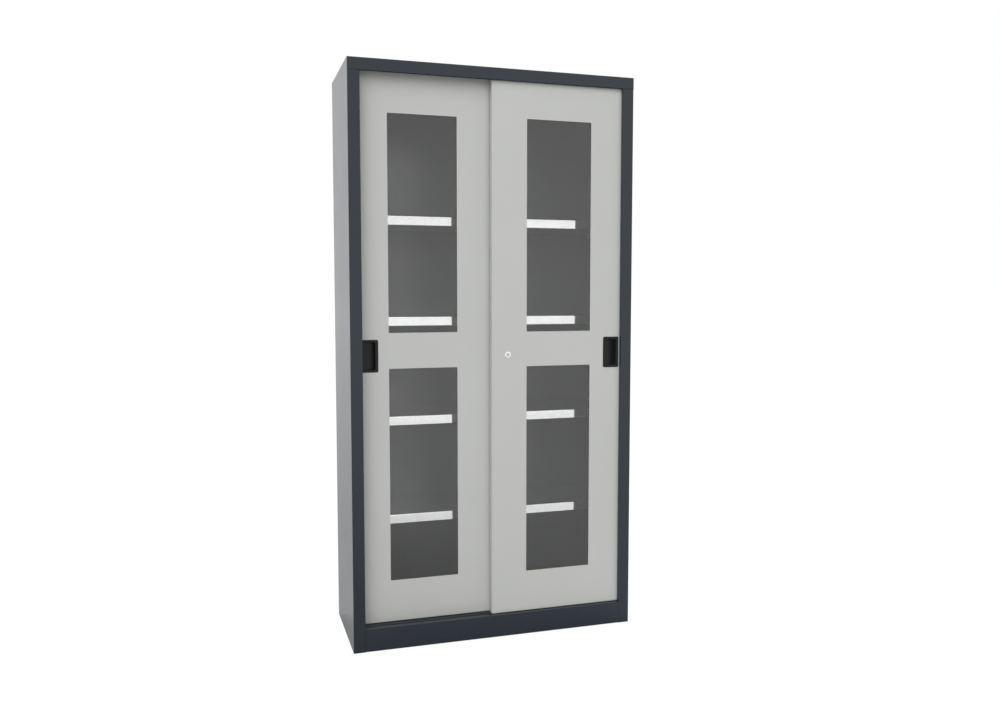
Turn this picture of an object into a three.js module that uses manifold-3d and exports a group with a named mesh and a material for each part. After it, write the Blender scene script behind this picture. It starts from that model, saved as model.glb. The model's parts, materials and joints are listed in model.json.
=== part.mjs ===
// Sliding door cabinet: a folded steel carcass, two glazed doors that slide past each other, four shelves.
// Millimetres, +Z up. The origin lies on the ground under the middle, and the front faces -Y.
import * as THREE from 'three';
import { mergeVertices } from 'three/addons/utils/BufferGeometryUtils.js';
import Module from 'manifold-3d';

// Whole cabinet
const width = 1000;
const depth = 400;
const height = 1950;

// Sheet metal, and the clearance between pieces that touch
const sheet = 1;
const bend = 1;
const bendSteps = 3;
const fit = 0.3;
const overrun = 5;

// Frame round the doors
const stileWidth = 40;
const railHeight = 40;
const frameReturn = 12;
const railLip = 8;
const plinthHeight = 77.5;
const plinthTop = 14;
const plinthLip = 6;
const plinthFoot = 20;

// Flanges of the casing
const rearFlange = 20;
const sideFlange = 25;
const backFlange = 10;
const topFlangeSetback = 80;

// Cabinet floor
const floorHeight = 98;
const floorSetback = 89;
const floorSkirt = 38;

// Bottom track and top guide rail: folded strips with one groove for each door
const trackBend = 0.5;
const trackLip = 14;
const trackDepth = 88;
const trackGrooveWidth = 6;
const trackGrooveDepth = 9;
const railDepth = 73;
const guideGrooveWidth = 8;
const guideGrooveDepth = 11;
const guideClearance = 3;

// Doors: two equal panels, the front one on the right and the rear one on the left
const frontDoorSetback = 15;
const doorPitch = 33;
const doorThickness = 25;
const doorCover = 30;
const doorOverlap = 29;
const doorGap = 1.5;
const doorTopCover = 22;
const doorLip = 10;
const doorCorner = 1;

// Windows in each door
const windowSideNear = 125;
const windowSideFar = 143;
const windowMargin = 142.5;
const windowBar = 120;
const windowCorner = 1.5;

// Glass panes and the frames that hold them
const glassThickness = 4;
const glassOverlap = 10;
const glazingSheet = 1.2;
const glazingFoot = 10;
const glazingReveal = 1.5;

// Recessed handles
const handleWidth = 59;
const handleHeight = 109;
const handleDrop = 16.5;
const handleInsetFront = 62.7;
const handleInsetRear = 59.5;
const handleProud = 1.4;
const handleCorner = 5;
const handleBevel = 0.6;
const handleRim = 10;
const handleEndRim = 8;
const handleWall = 2;
const handleDepth = 11;
const handleFloorInset = 4;
const handleEndDraft = 5;
const handleMouthCorner = 3;

// Lock in the front door, and the stud on the rear door that its hook catches
const lockDrop = 18.9;
const lockInset = 56.4;
const lockSides = 24;
const rosetteRadius = 11.5;
const rosetteProud = 3.2;
const rosetteChamfer = 1.4;
const barrelRadius = 9;
const barrelGap = 0.7;
const lockNutRadius = 13;
const lockNutThickness = 4;
const plugRadius = 6.2;
const plugProud = 0.4;
const keySlotWidth = 1.8;
const keySlotHeight = 7.5;
const keySlotDepth = 6;
const plugStubRadius = 4;
const plugStubLength = 4.2;
const camThickness = 2.5;
const camHubRadius = 9;
const camFinger = 5;
const camPlay = 1;
const camMouth = 16;
const camArcSteps = 5;
const camHubSteps = 8;
const keeperReach = 44;
const keeperRadius = 4;
const keeperFlangeRadius = 5.8;
const keeperFlange = 1.4;
const keeperSides = 16;
const keeperBearing = 141;
const camBearing = 231;

// Rollers under each door, running in the track
const rollerRadius = 15;
const rollerWidth = 5;
const rollerCrown = 0.8;
const rollerHubRadius = 6;
const rollerHubProud = 0.5;
const rollerSides = 20;
const rollerInset = 45;
const rollerSetback = 10;
const rollerSlotPlay = 2;
const axleRadius = 2.5;
const axleSides = 12;
const axleHead = 0.8;

// Brackets that carry the rollers
const bracketSheet = 1.3;
const bracketLength = 36;
const bracketCheekGap = 8;
const bracketFrontFoot = 2;
const bracketRearFoot = 6;
const bracketRoof = 2;

// Guide blocks on top of each door
const guideInset = 45;
const guideBodyLength = 40;
const guideBodyDepth = 12;
const guideBodyHeight = 16;
const guideTongueLength = 28;
const guideTongueWidth = 7;
const guideTongueHeight = 12;
const guideTongueChamfer = 1;

// Perforated uprights
const uprightWidth = 25;
const uprightDepth = 10;
const uprightFrontSetback = 97.5;
const uprightRearGap = 20;
const slotsPerShelf = 8;
const slotWidth = 9;
const slotHeight = 4.5;

// Shelves: folded trays
const shelfCount = 4;
const shelfPitch = 340;
const shelfFlange = 30;
const shelfLip = 12;
const shelfSetback = 89;

// Clips that carry the shelves
const clipSheet = 1.5;
const clipBend = 0.4;
const clipBendSteps = 2;
const clipWidth = 16;
const clipTongue = 7.5;
const clipPlate = 14;
const clipLedge = 10;
const clipHookDrop = 5;
const clipDrop = 6;

// Planes that several pieces share
const right = width / 2;
const front = -depth / 2;
const back = depth / 2;
const stileEdge = right - stileWidth;
const bendRoom = sheet + bend;
const wall = right - sheet;
const ceiling = height - sheet;
const backPanelRear = back - sheet - fit;
const backPanelFront = backPanelRear - sheet;
const interiorRear = backPanelFront - fit;
const uprightFace = wall - fit - uprightDepth;
const uprightLines = { front: front + uprightFrontSetback, rear: back - uprightRearGap - uprightWidth };

const doorEdge = stileEdge + doorCover;
const doorWidth = doorEdge + doorOverlap / 2;
const doorBottom = plinthHeight + doorGap;
const doorTop = height - railHeight + doorTopCover;
const doorHeight = doorTop - doorBottom;
const frontDoorFace = front + frontDoorSetback;
const rearDoorFace = frontDoorFace + doorPitch;
const windowWidth = doorWidth - windowSideNear - windowSideFar;
const windowHeight = (doorHeight - windowBar) / 2 - windowMargin;
const windowX = windowSideNear + windowWidth / 2;
const windowLevels = {
  lower: windowMargin + windowHeight / 2,
  upper: doorHeight - windowMargin - windowHeight / 2,
};
const grooveLines = [frontDoorFace + rollerSetback, rearDoorFace + rollerSetback];
const handleZ = doorHeight / 2 - handleDrop;
const lockZ = doorHeight / 2 - lockDrop;
const rollerLevel = plinthHeight - trackGrooveDepth + fit + rollerRadius;
const barrelEnd = doorThickness + barrelGap;
const glassFront = sheet + fit;
const glassBack = glassFront + glassThickness;

const wasm = await Module();
wasm.setup();

// Closed solid from a geometry, with shared vertices merged and the faces pointing out
function solid(geometry) {
  const bare = geometry.index ? geometry.toNonIndexed() : geometry;
  const extras = Object.keys(bare.attributes).filter((key) => key !== 'position');
  extras.forEach((key) => bare.deleteAttribute(key));
  const merged = mergeVertices(bare);
  const position = merged.attributes.position;
  const faces = [];
  const a = new THREE.Vector3();
  const b = new THREE.Vector3();
  const c = new THREE.Vector3();
  let volume = 0;
  for (let start = 0; start < merged.index.count; start += 3) {
    const face = [0, 1, 2].map((corner) => merged.index.getX(start + corner));
    if (new Set(face).size < face.length) continue;
    a.fromBufferAttribute(position, face[0]);
    b.fromBufferAttribute(position, face[1]);
    c.fromBufferAttribute(position, face[2]);
    volume += a.dot(b.cross(c));
    faces.push(face);
  }
  const outward = volume < 0 ? faces.map((face) => face.reverse()) : faces;
  const vertProperties = new Float32Array(position.array);
  const triVerts = new Uint32Array(outward.flat());
  return new wasm.Manifold(new wasm.Mesh({ numProp: 3, vertProperties, triVerts }));
}

// Geometry of a finished solid, with flat faces
function geometryOf(body) {
  const { vertProperties, triVerts } = body.getMesh();
  const geometry = new THREE.BufferGeometry();
  geometry.setAttribute('position', new THREE.BufferAttribute(vertProperties, 3));
  geometry.setIndex(new THREE.BufferAttribute(triVerts, 1));
  const flat = geometry.toNonIndexed();
  flat.computeVertexNormals();
  return flat;
}

// Block between two corners
function block([x0, y0, z0], [x1, y1, z1]) {
  const geometry = new THREE.BoxGeometry(x1 - x0, y1 - y0, z1 - z0);
  return solid(geometry.translate((x0 + x1) / 2, (y0 + y1) / 2, (z0 + z1) / 2));
}

// Section planes: along x the section lies in (y, z), along y in (x, z) and along z in (x, y)
const axisX = new THREE.Vector3(1, 0, 0);
const axisY = new THREE.Vector3(0, 1, 0);
const axisZ = new THREE.Vector3(0, 0, 1);
const sectionBases = {
  x: [axisY, axisZ, axisX],
  y: [axisX, axisZ, axisY.clone().negate()],
  z: [axisX, axisY, axisZ],
};

// Straight prism of an outline, from one place to another along an axis
function prism(outline, axis, from, to) {
  const shape = new THREE.Shape(outline.map(([u, v]) => new THREE.Vector2(u, v)));
  const geometry = new THREE.ExtrudeGeometry(shape, { depth: to - from, bevelEnabled: false });
  const base = sectionBases[axis];
  const start = axis === 'y' ? -to : from;
  geometry.translate(0, 0, start);
  geometry.applyMatrix4(new THREE.Matrix4().makeBasis(...base));
  return solid(geometry);
}

// Turned piece about an axis along y, from points of [radius, place along the axis]
function turned(profile, sides) {
  const points = profile.map(([radius, y]) => new THREE.Vector2(radius, y));
  return solid(new THREE.LatheGeometry(points, sides));
}

// Arc of points about a centre, from one angle to another, in radians
function arc([x, y], radius, from, to, steps) {
  return Array.from({ length: steps + 1 }, (_, step) => {
    const angle = from + ((to - from) * step) / steps;
    return [x + radius * Math.cos(angle), y + radius * Math.sin(angle)];
  });
}

// Outline of a bent strip: its outer face follows the corners, and the sheet lies on their left
function foldedStrip(corners, thickness, radius, steps = bendSteps) {
  const points = corners.map(([x, y]) => new THREE.Vector2(x, y));
  const leftOf = (run) => new THREE.Vector2(-run.y, run.x);
  const face = [];
  const reverse = [];
  points.forEach((point, index) => {
    const before = index > 0 ? point.clone().sub(points[index - 1]).normalize() : null;
    const after = index < points.length - 1 ? points[index + 1].clone().sub(point).normalize() : null;
    if (!before || !after) {
      face.push(point);
      reverse.push(point.clone().addScaledVector(leftOf(before ?? after), thickness));
      return;
    }
    const angle = Math.atan2(before.cross(after), before.dot(after));
    const turn = Math.sign(angle);
    const faceRadius = turn > 0 ? radius + thickness : radius;
    const reverseRadius = turn > 0 ? radius : radius + thickness;
    const setback = faceRadius * Math.tan(Math.abs(angle) / 2);
    const centre = point.clone().addScaledVector(before, -setback);
    centre.addScaledVector(leftOf(before), turn * faceRadius);
    for (let step = 0; step <= steps; step += 1) {
      const spoke = leftOf(before).multiplyScalar(-turn);
      spoke.rotateAround(new THREE.Vector2(), (angle * step) / steps);
      face.push(centre.clone().addScaledVector(spoke, faceRadius));
      reverse.push(centre.clone().addScaledVector(spoke, reverseRadius));
    }
  });
  return [...face, ...reverse.reverse()].map(({ x, y }) => [x, y]);
}

// Outline of a rectangle with rounded corners
function roundedRectangle(centreX, centreY, sizeX, sizeY, radius, steps = bendSteps) {
  const reachX = sizeX / 2 - radius;
  const reachY = sizeY / 2 - radius;
  const quarter = Math.PI / 2;
  return [[1, 1], [-1, 1], [-1, -1], [1, -1]].flatMap(([sideX, sideY], index) => {
    const centre = [centreX + sideX * reachX, centreY + sideY * reachY];
    return arc(centre, radius, index * quarter, (index + 1) * quarter, steps);
  });
}

// Block that is open to +y and rounded over along its four front edges at y = near
function rolledBlock([x0, x1], [near, far], [z0, z1], radius) {
  const rolled = (low, high) => [
    [high, far],
    [low, far],
    ...arc([low + radius, near + radius], radius, Math.PI, 1.5 * Math.PI, bendSteps),
    ...arc([high - radius, near + radius], radius, 1.5 * Math.PI, 2 * Math.PI, bendSteps),
  ];
  const upright = prism(rolled(x0, x1), 'z', z0, z1);
  const level = prism(rolled(z0, z1).map(([z, y]) => [y, z]), 'x', x0, x1);
  return upright.intersect(level);
}

// Folded pan with its skin at y = 0 and its flanges towards +y; lips turn in along the rear of the flanges
function foldedPan(sizeX, sizeY, sizeZ, lipX, lipZ, radius) {
  const outer = rolledBlock([0, sizeX], [0, sizeY], [0, sizeZ], radius + sheet);
  const hollow = rolledBlock([sheet, sizeX - sheet], [sheet, sizeY - sheet], [sheet, sizeZ - sheet], radius);
  const mouth = block(
    [sheet + lipX, sizeY / 2, sheet + lipZ],
    [sizeX - sheet - lipX, sizeY + overrun, sizeZ - sheet - lipZ],
  );
  return outer.subtract(hollow).subtract(mouth);
}

// Right hand side: stile with its return, side wall, and flanges at the rear, the bottom and the top
function sidePanel() {
  const section = foldedStrip([
    [stileEdge, front + frameReturn],
    [stileEdge, front],
    [right, front],
    [right, back],
    [right - rearFlange, back],
  ], sheet, bend);
  const topEdge = ceiling - fit;
  const stileTop = height - railHeight - fit;
  const flangeTop = height - rearFlange - fit;
  const flangeEdge = right - sideFlange;
  const flangeRear = back - rearFlange;
  let panel = prism(section, 'z', 0, topEdge);
  panel = panel.add(block([flangeEdge, front + frameReturn, 0], [right, flangeRear, sheet]));
  const topFlangeFront = front + topFlangeSetback;
  panel = panel.add(block([flangeEdge, topFlangeFront, topEdge - sheet], [right, flangeRear, topEdge]));
  const nearStile = stileEdge - overrun;
  const nearFlange = right - rearFlange - overrun;
  const cuts = [
    [[nearStile, front - overrun, stileTop], [wall, front + frameReturn + overrun, height]],
    [[nearStile, front - overrun, stileTop], [right + overrun, front + sheet + fit, height]],
    [[nearFlange, back - bendRoom, flangeTop], [wall, back + overrun, height]],
    [[nearFlange, back - sheet - fit, flangeTop], [right + overrun, back + overrun, height]],
    [[wall - overrun, front - overrun, ceiling - bend], [right + overrun, front + bendRoom, height]],
    [[wall - overrun, back - bendRoom, ceiling - bend], [right + overrun, back + overrun, height]],
  ];
  cuts.forEach(([low, high]) => {
    panel = panel.subtract(block(low, high));
  });
  return panel;
}

// Top with the front rail folded down from it
function topPanel() {
  const section = foldedStrip([
    [back, height - rearFlange],
    [back, height],
    [front, height],
    [front, height - railHeight],
    [front + frameReturn, height - railHeight],
    [front + frameReturn, height - railHeight + railLip],
  ], sheet, bend);
  const low = height - railHeight - overrun;
  const high = height - railHeight + railLip + overrun;
  const far = front + frameReturn + overrun;
  const top = prism(section, 'x', -right, right);
  const rightNotch = block([wall - fit, front + sheet, low], [right + overrun, far, high]);
  const leftNotch = block([-right - overrun, front + sheet, low], [fit - wall, far, high]);
  return top.subtract(rightNotch).subtract(leftNotch);
}

function backPanel() {
  const edge = right - bendRoom;
  const section = foldedStrip([
    [edge, backPanelRear - backFlange],
    [edge, backPanelRear],
    [-edge, backPanelRear],
    [-edge, backPanelRear - backFlange],
  ], sheet, bend);
  return prism(section, 'z', fit, ceiling - bend);
}

function floorPanel() {
  const section = foldedStrip([
    [interiorRear, floorHeight - floorSkirt],
    [interiorRear, floorHeight],
    [front + floorSetback, floorHeight],
    [front + floorSetback, floorHeight - floorSkirt],
  ], sheet, bend);
  const edge = right - 2 * bendRoom - fit;
  return prism(section, 'x', -edge, edge);
}

function plinthBoard() {
  const section = foldedStrip([
    [front + plinthTop, plinthHeight - plinthLip],
    [front + plinthTop, plinthHeight],
    [front, plinthHeight],
    [front, 0],
    [front + plinthFoot, 0],
    [front + plinthFoot, plinthLip],
  ], sheet, bend);
  const edge = stileEdge - fit;
  return prism(section, 'x', -edge, edge);
}

// Folded strip with a groove for each door: inward is -1 for grooves cut down and +1 for grooves cut up
function groovedStrip({ near, far, face, inward, legs, grooveWidth, grooveDepth }) {
  const grooves = [...grooveLines].reverse().flatMap((line) => [
    [line + grooveWidth / 2, face],
    [line + grooveWidth / 2, face + inward * grooveDepth],
    [line - grooveWidth / 2, face + inward * grooveDepth],
    [line - grooveWidth / 2, face],
  ]);
  const corners = [
    [far, face + inward * legs.rear],
    [far, face],
    ...grooves,
    [near, face],
    [near, face + inward * legs.front],
  ];
  const section = foldedStrip(inward < 0 ? corners : corners.reverse(), sheet, trackBend);
  return prism(section, 'x', fit - wall, wall - fit);
}

function bottomTrack() {
  return groovedStrip({
    near: front + plinthTop + fit,
    far: front + trackDepth,
    face: plinthHeight,
    inward: -1,
    legs: { front: trackLip, rear: trackLip },
    grooveWidth: trackGrooveWidth,
    grooveDepth: trackGrooveDepth,
  });
}

function topGuideRail() {
  const face = doorTop + guideClearance;
  const leg = ceiling - fit - face;
  return groovedStrip({
    near: front + frameReturn + fit,
    far: front + railDepth,
    face,
    inward: 1,
    legs: { front: leg, rear: leg },
    grooveWidth: guideGrooveWidth,
    grooveDepth: guideGrooveDepth,
  });
}

// Levels of the slots: one row is placed so that a clip in it holds each shelf at its own level
function slotTops() {
  const pitch = shelfPitch / slotsPerShelf;
  const first = floorHeight + pitch - shelfFlange - fit - clipDrop;
  const last = ceiling - sheet - shelfFlange;
  return Array.from({ length: Math.floor((last - first) / pitch) + 1 }, (_, row) => first + row * pitch);
}

// Right hand upright: a channel with its open side to the wall, and a row of slots in its web
function upright(near) {
  const section = foldedStrip([
    [wall - fit, near + uprightWidth],
    [uprightFace, near + uprightWidth],
    [uprightFace, near],
    [wall - fit, near],
  ], sheet, bend);
  const middle = near + uprightWidth / 2;
  let channel = prism(section, 'z', floorHeight + fit, ceiling - sheet - 2 * fit);
  slotTops().forEach((top) => {
    const low = [uprightFace - overrun, middle - slotWidth / 2, top - slotHeight];
    const high = [uprightFace + bendRoom, middle + slotWidth / 2, top];
    channel = channel.subtract(block(low, high));
  });
  return channel;
}

// Right hand clip: a ledge under the shelf, a plate against the upright and a hook through its slot
function shelfClip(near, shelfTop) {
  const middle = near + uprightWidth / 2;
  const seat = shelfTop - shelfFlange - fit;
  const plateFace = uprightFace - fit;
  const hookFace = uprightFace + sheet + fit + clipSheet;
  const hookTop = seat - clipDrop - fit;
  const ledge = foldedStrip([
    [plateFace, seat - clipPlate],
    [plateFace, seat],
    [plateFace - clipLedge, seat],
  ], clipSheet, clipBend, clipBendSteps);
  const hook = foldedStrip([
    [hookFace, hookTop - clipSheet - clipHookDrop],
    [hookFace, hookTop],
    [plateFace - clipSheet / 2, hookTop],
  ], clipSheet, clipBend, clipBendSteps);
  const bracket = prism(ledge, 'y', middle - clipWidth / 2, middle + clipWidth / 2);
  return bracket.add(prism(hook, 'y', middle - clipTongue / 2, middle + clipTongue / 2));
}

const shelfWidth = 2 * (uprightFace - fit);
const shelfDepth = interiorRear - front - shelfSetback;

function shelfTray() {
  return foldedPan(shelfWidth, shelfFlange, shelfDepth, 0, shelfLip, bend);
}

// Door panel seen from its lower left corner, with cut-outs for the windows, the handle and the running gear
function doorPanel({ handleX, lockHole }) {
  let panel = foldedPan(doorWidth, doorThickness, doorHeight, doorLip, doorLip, doorCorner);
  const skinCut = (outline) => prism(outline, 'y', -overrun, sheet + doorCorner);
  Object.values(windowLevels).forEach((level) => {
    const opening = roundedRectangle(windowX, level, windowWidth, windowHeight, windowCorner);
    panel = panel.subtract(skinCut(opening));
  });
  const cup = handleCup();
  const cupWidth = cup.right - cup.left + 2 * (handleWall + fit);
  const cupHeight = handleHeight - 2 * handleEndRim + 2 * (handleWall + fit);
  const cupX = handleX + (cup.left + cup.right) / 2;
  panel = panel.subtract(skinCut(roundedRectangle(cupX, handleZ, cupWidth, cupHeight, fit)));
  if (lockHole) {
    const circle = arc([lockInset, lockZ], barrelRadius + fit, 0, 2 * Math.PI, lockSides);
    panel = panel.subtract(skinCut(circle.slice(1)));
  }
  const slotReach = rollerRadius + rollerSlotPlay;
  const slotHalf = rollerWidth / 2 + rollerSlotPlay;
  [rollerInset, doorWidth - rollerInset].forEach((x) => {
    const low = [x - slotReach, rollerSetback - slotHalf, -overrun];
    panel = panel.subtract(block(low, [x + slotReach, rollerSetback + slotHalf, sheet + doorCorner]));
  });
  const tongueReach = guideTongueLength / 2 + fit;
  const tongueHalf = guideTongueWidth / 2 + fit;
  [guideInset, doorWidth - guideInset].forEach((x) => {
    const low = [x - tongueReach, rollerSetback - tongueHalf, doorHeight - sheet - doorCorner];
    panel = panel.subtract(block(low, [x + tongueReach, rollerSetback + tongueHalf, doorHeight + overrun]));
  });
  return panel;
}

function glassPane() {
  const halfX = windowWidth / 2 + glassOverlap;
  const halfZ = windowHeight / 2 + glassOverlap;
  return block([-halfX, glassFront, -halfZ], [halfX, glassBack, halfZ]);
}

// Frame behind the window: a foot on the skin, and a step that holds the pane
function glazingFrame() {
  const ring = (grow, near, far) => {
    const halfX = windowWidth / 2 + grow;
    const halfZ = windowHeight / 2 + grow;
    return block([-halfX, near, -halfZ], [halfX, far, halfZ]);
  };
  const pocket = glassOverlap + fit;
  const step = pocket + glazingSheet;
  const rear = glassBack + fit + glazingSheet;
  const footRing = ring(step + glazingFoot, glassFront, glassFront + glazingSheet);
  const stepRing = ring(step, glassFront, rear);
  const hollow = ring(pocket, glassFront - overrun, glassBack + fit);
  const daylight = ring(glazingReveal, glassFront - overrun, rear + overrun);
  return footRing.add(stepRing).subtract(hollow).subtract(daylight);
}

// Mouth of the handle's recess, measured from the handle's middle
function handleCup() {
  const reach = handleWidth / 2 - handleRim;
  return { left: -reach, right: reach, deepest: reach - handleFloorInset };
}

// Recessed handle: a thin rim on the skin round a cup whose floor slopes down to the right
function recessedHandle() {
  const cup = handleCup();
  const rimFront = -handleProud - fit;
  const halfCup = handleHeight / 2 - handleEndRim;
  const rimWidth = handleWidth - 2 * handleBevel;
  const rimHeight = handleHeight - 2 * handleBevel;
  const outline = roundedRectangle(0, 0, rimWidth, rimHeight, handleCorner);
  const rimShape = new THREE.Shape(outline.map(([x, z]) => new THREE.Vector2(x, z)));
  const rimGeometry = new THREE.ExtrudeGeometry(rimShape, {
    depth: handleProud - handleBevel,
    bevelSize: handleBevel,
    bevelThickness: handleBevel,
    bevelSegments: 1,
  });
  rimGeometry.rotateX(Math.PI / 2);
  rimGeometry.translate(0, -fit, 0);
  const rim = solid(rimGeometry).intersect(block(
    [-handleWidth, rimFront - overrun, -handleHeight],
    [handleWidth, -fit, handleHeight],
  ));
  const shell = prism([
    [cup.left - handleWall, -fit - handleBevel],
    [cup.right + handleWall, -fit - handleBevel],
    [cup.deepest + handleWall, handleDepth + handleWall],
    [cup.deepest - handleWall, handleDepth + handleWall],
    [cup.left - handleWall, handleWall],
  ], 'z', -halfCup - handleWall, halfCup + handleWall);
  const scoop = prism([
    [cup.left, rimFront - overrun],
    [cup.right, rimFront - overrun],
    [cup.right, 0],
    [cup.deepest, handleDepth],
    [cup.left, 0],
  ], 'z', -halfCup, halfCup);
  const ends = prism([
    [rimFront - overrun, -halfCup],
    [0, -halfCup],
    [handleDepth, handleEndDraft - halfCup],
    [handleDepth, halfCup - handleEndDraft],
    [0, halfCup],
    [rimFront - overrun, halfCup],
  ], 'x', -handleWidth, handleWidth);
  const middle = (cup.left + cup.right) / 2;
  const mouth = roundedRectangle(middle, 0, cup.right - cup.left, 2 * halfCup, handleMouthCorner);
  const bore = prism(mouth, 'y', rimFront - overrun, handleDepth + overrun);
  return rim.add(shell).subtract(scoop.intersect(ends).intersect(bore));
}

// Lock housing: rosette, threaded barrel through the skin, and the nut behind it
function lockHousing() {
  const rosetteFront = -rosetteProud - fit;
  const nutFront = sheet + fit;
  const bore = plugRadius + fit;
  return turned([
    [bore, rosetteFront],
    [rosetteRadius - rosetteChamfer, rosetteFront],
    [rosetteRadius, rosetteFront + rosetteChamfer],
    [rosetteRadius, -fit],
    [barrelRadius, -fit],
    [barrelRadius, nutFront],
    [lockNutRadius, nutFront],
    [lockNutRadius, nutFront + lockNutThickness],
    [barrelRadius, nutFront + lockNutThickness],
    [barrelRadius, barrelEnd],
    [bore, barrelEnd],
    [bore, rosetteFront],
  ], lockSides);
}

// Lock plug: it turns in the housing, has the key slot in front and carries the cam on its stub
function lockPlug() {
  const plugFront = -rosetteProud - fit - plugProud;
  const plug = turned([
    [0, plugFront],
    [plugRadius - plugProud, plugFront],
    [plugRadius, plugFront + plugProud],
    [plugRadius, barrelEnd],
    [plugStubRadius, barrelEnd],
    [plugStubRadius, barrelEnd + plugStubLength],
    [0, barrelEnd + plugStubLength],
  ], lockSides);
  const halfWidth = keySlotWidth / 2;
  const halfHeight = keySlotHeight / 2;
  const slotRear = plugFront + keySlotDepth;
  const slot = block([-halfWidth, plugFront - overrun, -halfHeight], [halfWidth, slotRear, halfHeight]);
  return plug.subtract(slot);
}

const radians = (degrees) => THREE.MathUtils.degToRad(degrees);

// Hook cam: a curved channel near its tip takes the keeper stud when the plug is turned clockwise
function lockCam() {
  const channelInner = keeperReach - keeperRadius - camPlay;
  const channelOuter = keeperReach + keeperRadius + camPlay;
  const tip = channelOuter + camFinger;
  const mouth = -radians(camMouth);
  const closed = (keeperRadius + camPlay) / keeperReach;
  const trailing = closed + camFinger / keeperReach;
  const hubHalf = Math.PI / 2;
  const outline = [
    ...arc([0, 0], camHubRadius, hubHalf, 2 * Math.PI - hubHalf, camHubSteps),
    ...arc([0, 0], channelInner, mouth, closed, camArcSteps),
    ...arc([0, 0], channelOuter, closed, mouth, camArcSteps),
    ...arc([0, 0], tip, mouth, trailing, camArcSteps),
  ];
  const aim = radians(camBearing);
  const aimed = outline.map(([x, z]) => {
    const point = new THREE.Vector2(x, z).rotateAround(new THREE.Vector2(), aim);
    return [point.x, point.y];
  });
  const near = barrelEnd + fit;
  const far = near + camThickness;
  const bore = arc([0, 0], plugStubRadius + fit, 0, 2 * Math.PI, lockSides).slice(1);
  return prism(aimed, 'y', near, far).subtract(prism(bore, 'y', near - overrun, far + overrun));
}

// Keeper stud, standing on the face of the rear door
function lockKeeper() {
  const stud = doorPitch - barrelEnd;
  const base = -fit;
  return turned([
    [0, base],
    [keeperFlangeRadius, base],
    [keeperFlangeRadius, base - keeperFlange],
    [keeperRadius, base - keeperFlange],
    [keeperRadius, fit - stud],
    [0, fit - stud],
  ].reverse(), keeperSides);
}

// Roller with a crowned tread and raised hub faces
function roller() {
  const half = rollerWidth / 2;
  const hub = half + rollerHubProud;
  const bore = axleRadius + fit;
  return turned([
    [bore, -hub],
    [rollerHubRadius, -hub],
    [rollerHubRadius, -half],
    [rollerRadius - rollerCrown, -half],
    [rollerRadius, -half + rollerCrown],
    [rollerRadius, half - rollerCrown],
    [rollerRadius - rollerCrown, half],
    [rollerHubRadius, half],
    [rollerHubRadius, hub],
    [bore, hub],
    [bore, -hub],
  ], rollerSides);
}

// Roller bracket: a hat of folded strip over the roller, with the axle riveted through its cheeks
function rollerBracket() {
  const base = doorBottom + sheet + fit - rollerLevel;
  const roof = rollerRadius + bracketRoof + bracketSheet;
  const cheek = bracketCheekGap / 2 + bracketSheet;
  const section = foldedStrip([
    [-cheek - bracketFrontFoot, base + bracketSheet],
    [-cheek, base + bracketSheet],
    [-cheek, roof],
    [cheek, roof],
    [cheek, base + bracketSheet],
    [cheek + bracketRearFoot, base + bracketSheet],
  ].reverse(), bracketSheet, trackBend);
  const hat = prism(section, 'x', -bracketLength / 2, bracketLength / 2);
  const axle = turned([
    [0, -cheek - axleHead],
    [axleRadius, -cheek - axleHead],
    [axleRadius, cheek + axleHead],
    [0, cheek + axleHead],
  ], axleSides);
  return hat.add(axle);
}

// Guide block: its body sits under the top flange, and its tongue runs in the rail
function guideBlock() {
  const top = -sheet - fit;
  const halfLength = guideTongueLength / 2;
  const halfWidth = guideTongueWidth / 2;
  const body = block(
    [-guideBodyLength / 2, -guideBodyDepth / 2, top - guideBodyHeight],
    [guideBodyLength / 2, guideBodyDepth / 2, top],
  );
  const tongue = prism([
    [-halfLength, top - guideTongueChamfer],
    [halfLength, top - guideTongueChamfer],
    [halfLength, guideTongueHeight - guideTongueChamfer],
    [halfLength - guideTongueChamfer, guideTongueHeight],
    [guideTongueChamfer - halfLength, guideTongueHeight],
    [-halfLength, guideTongueHeight - guideTongueChamfer],
  ], 'y', -halfWidth, halfWidth);
  return body.add(tongue);
}

// Finishes
const finishes = {
  bodyPaint: { color: '#3d4146', roughness: 0.35, metalness: 0 },
  doorPaint: { color: '#bcbdba', roughness: 0.4, metalness: 0 },
  zinc: { color: '#c9ccce', roughness: 0.15, metalness: 1 },
  glass: { color: '#cfd8d6', roughness: 0.02, metalness: 0, transparent: true, opacity: 0.3 },
  blackPlastic: { color: '#1e1f1f', roughness: 0.45, metalness: 0 },
  nickel: { color: '#d4d4d2', roughness: 0.2, metalness: 1 },
  whitePlastic: { color: '#e4e3de', roughness: 0.5, metalness: 0 },
};

// Named mesh of a solid in one of the finishes
function piece(name, body, finish) {
  const mesh = new THREE.Mesh(geometryOf(body), new THREE.MeshStandardMaterial(finishes[finish]));
  mesh.name = name;
  return mesh;
}

// Right hand piece and its mirror image on the left
function handedPair(name, body, finish) {
  const mirrored = geometryOf(body).scale(-1, 1, 1);
  return [piece(`${name}_right`, body, finish), piece(`${name}_left`, solid(mirrored), finish)];
}

function placed(mesh, x, y, z) {
  mesh.position.set(x, y, z);
  return mesh;
}

function carcass() {
  const group = new THREE.Group();
  group.add(
    ...handedPair('side_panel', sidePanel(), 'bodyPaint'),
    piece('top_panel', topPanel(), 'bodyPaint'),
    piece('back_panel', backPanel(), 'bodyPaint'),
    piece('floor_panel', floorPanel(), 'bodyPaint'),
    piece('plinth', plinthBoard(), 'bodyPaint'),
    piece('bottom_track', bottomTrack(), 'bodyPaint'),
    piece('top_guide_rail', topGuideRail(), 'bodyPaint'),
    ...handedPair('upright_front', upright(uprightLines.front), 'bodyPaint'),
    ...handedPair('upright_rear', upright(uprightLines.rear), 'bodyPaint'),
  );
  return group;
}

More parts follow.
